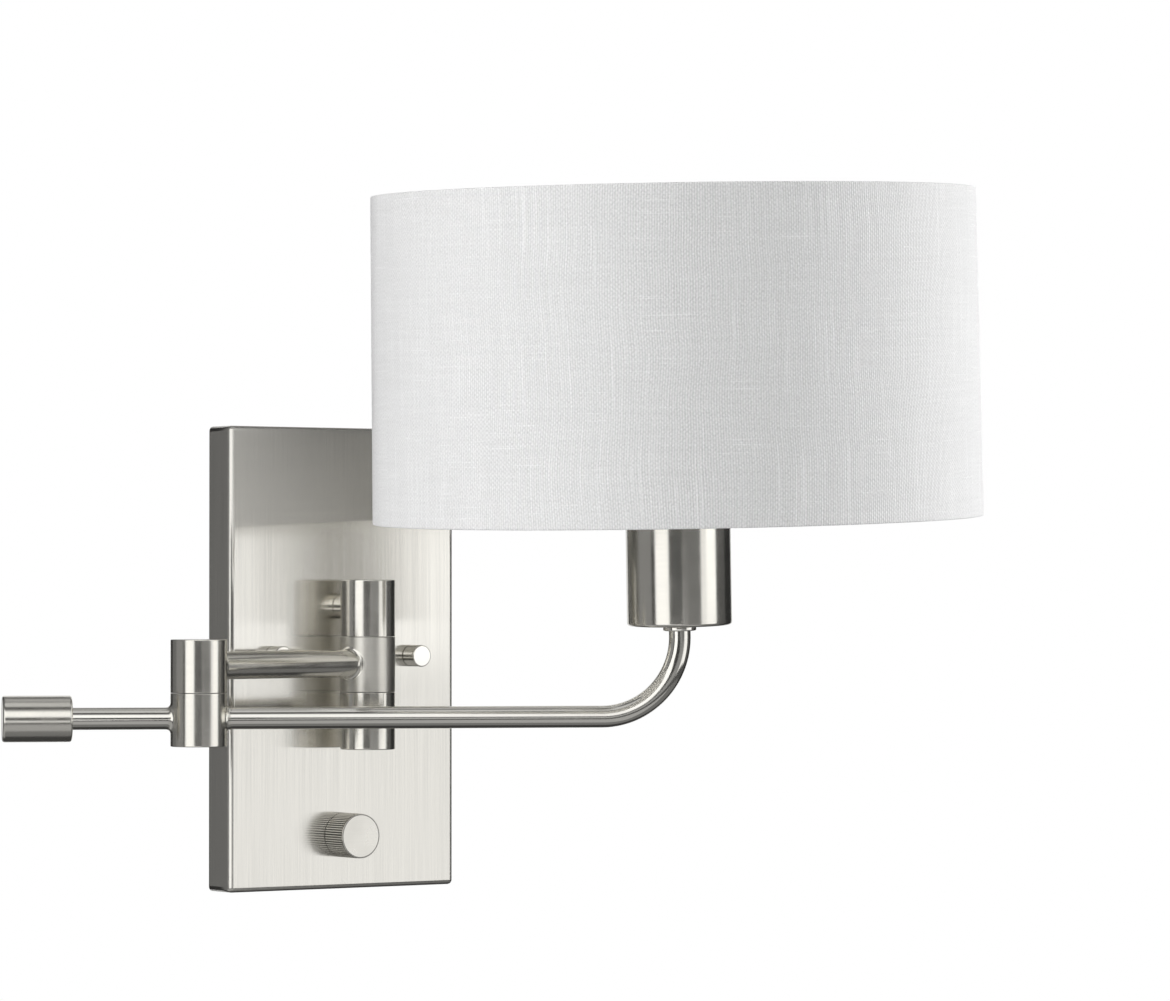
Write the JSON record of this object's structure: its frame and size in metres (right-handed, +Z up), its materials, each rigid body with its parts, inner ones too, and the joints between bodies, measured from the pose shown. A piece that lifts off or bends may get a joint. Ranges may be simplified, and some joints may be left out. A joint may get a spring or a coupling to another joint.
{
  "type": "wall swing-arm lamp",
  "caption": "Wall lamp: upright rectangular backplate with a rotary dimmer, hinged swing arm with a pull handle, and a white linen drum shade over an upright socket cup.",
  "frame": {"origin": "centre of the backplate on the wall, on the back of the mounting bracket", "axes": "+X right along the wall, +Y into the wall, +Z up"},
  "size_m": [0.3799, 0.2761, 0.2983],
  "materials": {
    "satin_nickel": "satin",
    "brushed_nickel": "brushed",
    "polished_nickel": "polished",
    "zinc_steel": "plated",
    "brass": "machined",
    "green_screw": "plated",
    "nylon": "moulded",
    "black_plastic": "moulded",
    "insulation": "moulded",
    "white_enamel": "enamelled",
    "linen": "woven",
    "styrene": "sheet",
    "frosted_glass": "frosted"
  },
  "bodies": {
    "wall_mount": {"backplate": "brushed_nickel", "mounting_bracket": "zinc_steel", "ground_screw": "green_screw", "stud_left": "zinc_steel", "stud_nut_left": "zinc_steel", "cap_nut_left": "polished_nickel", "stud_right": "zinc_steel", "stud_nut_right": "zinc_steel", "cap_nut_right": "polished_nickel", "neck_sleeve": "satin_nickel", "neck_nipple": "zinc_steel", "neck_washer": "zinc_steel", "neck_lock_nut": "zinc_steel", "neck_wires": "insulation", "dimmer_body": "black_plastic", "dimmer_bushing": "brass", "dimmer_nut": "zinc_steel", "dimmer_lead": "insulation", "post_upper_barrel": "satin_nickel", "post_lower_barrel": "satin_nickel", "post_pivot_tube": "zinc_steel", "post_pivot_nut": "zinc_steel", "post_bottom_plug": "satin_nickel"},
    "dimmer_knob": {"dimmer_shaft": "brass", "dimmer_knob": "satin_nickel"},
    "inner_arm": {"inner_arm_wall_barrel": "satin_nickel", "wall_hinge_upper_washer": "nylon", "wall_hinge_lower_washer": "nylon", "inner_arm_tube": "satin_nickel", "inner_arm_wires": "insulation", "inner_arm_elbow_barrel": "satin_nickel", "elbow_pivot_tube": "zinc_steel", "elbow_pivot_nut": "zinc_steel"},
    "outer_arm": {"elbow_lower_barrel": "satin_nickel", "elbow_washer": "nylon", "elbow_bottom_plug": "satin_nickel", "outer_rod": "polished_nickel", "outer_arm_wires": "insulation", "handle_rod": "polished_nickel", "handle_grip": "satin_nickel", "socket_collar": "polished_nickel", "socket_cup": "satin_nickel", "socket_lock_nut": "zinc_steel", "lampholder_cap": "black_plastic", "lampholder_body": "black_plastic", "lampholder_screw_shell": "brass", "lampholder_contact": "brass", "bulb_cap": "zinc_steel", "bulb_globe": "frosted_glass", "shade_fitter": "white_enamel", "fitter_arm_1": "white_enamel", "fitter_arm_2": "white_enamel", "fitter_arm_3": "white_enamel", "shade_ring_nut": "black_plastic", "shade_bottom_ring": "white_enamel", "shade_top_ring": "white_enamel", "shade_liner": "styrene", "shade_fabric": "linen"}
  },
  "joints": [
    {"name": "wall_swing", "type": "hinge", "parent": "wall_mount", "child": "inner_arm", "pos_m": [0, -0.0358, 0], "axis": [0, 0, 1], "range_deg": [-12, 3]},
    {"name": "elbow_swing", "type": "hinge", "parent": "inner_arm", "child": "outer_arm", "pos_m": [-0.09586, -0.05618, -0.013], "axis": [0, 0, 1], "range_deg": [-85, 0]},
    {"name": "dimmer_turn", "type": "hinge", "parent": "wall_mount", "child": "dimmer_knob", "pos_m": [0, -0.02, -0.0755], "axis": [0, 1, 0], "range_deg": [0, 300]}
  ]
}
